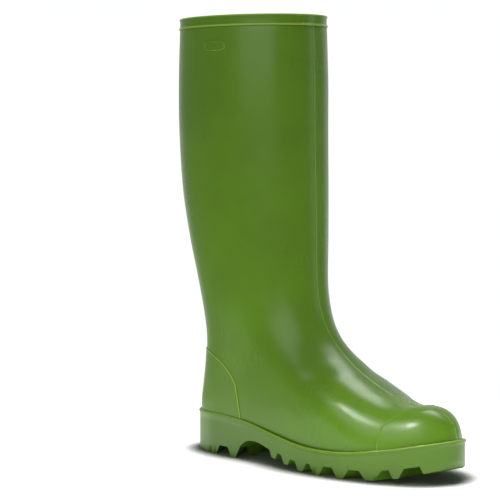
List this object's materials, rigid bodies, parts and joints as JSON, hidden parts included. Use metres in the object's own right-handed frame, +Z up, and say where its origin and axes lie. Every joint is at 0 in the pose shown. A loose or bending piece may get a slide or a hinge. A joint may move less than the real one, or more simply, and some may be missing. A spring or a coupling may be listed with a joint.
{
  "type": "rubber rain boot",
  "caption": "Knee-high moulded rubber rain boot for the right foot, with raised toe cap, heel counter, cuff band, lining, lift-out insole and a deep herringbone outsole.",
  "frame": {"origin": "centre of the boot's box, on the ground under the sole", "axes": "+X towards the toe, +Y towards the inner side of the foot, +Z up the leg"},
  "size_m": [0.332, 0.1148, 0.407],
  "materials": {
    "upper_rubber": "satin moulded rubber, olive green",
    "sole_rubber": "semi-matt moulded rubber, olive green",
    "lining_cloth": "knitted cotton lining",
    "stiffener_fibre": "pressed fibre",
    "board_fibre": "fibre board",
    "insole_felt": "felted cloth on foam",
    "core_rubber": "light cellular rubber",
    "shank_steel": "spring steel strip"
  },
  "bodies": {
    "boot": {"outsole": "sole_rubber", "leg_and_vamp": "upper_rubber", "cuff_band": "upper_rubber", "toe_cap": "upper_rubber", "heel_counter": "upper_rubber", "lining": "lining_cloth", "toe_stiffener": "stiffener_fibre", "heel_stiffener": "stiffener_fibre", "insole_board": "board_fibre", "heel_core": "core_rubber", "shank": "shank_steel"},
    "insole": {"insole": "insole_felt"}
  },
  "joints": [
    {"name": "insole_lift", "type": "hinge", "parent": "boot", "child": "insole", "pos_m": [0.1495, 0, 0.0295], "axis": [0, 1, 0], "range_deg": [0, 14]}
  ]
}
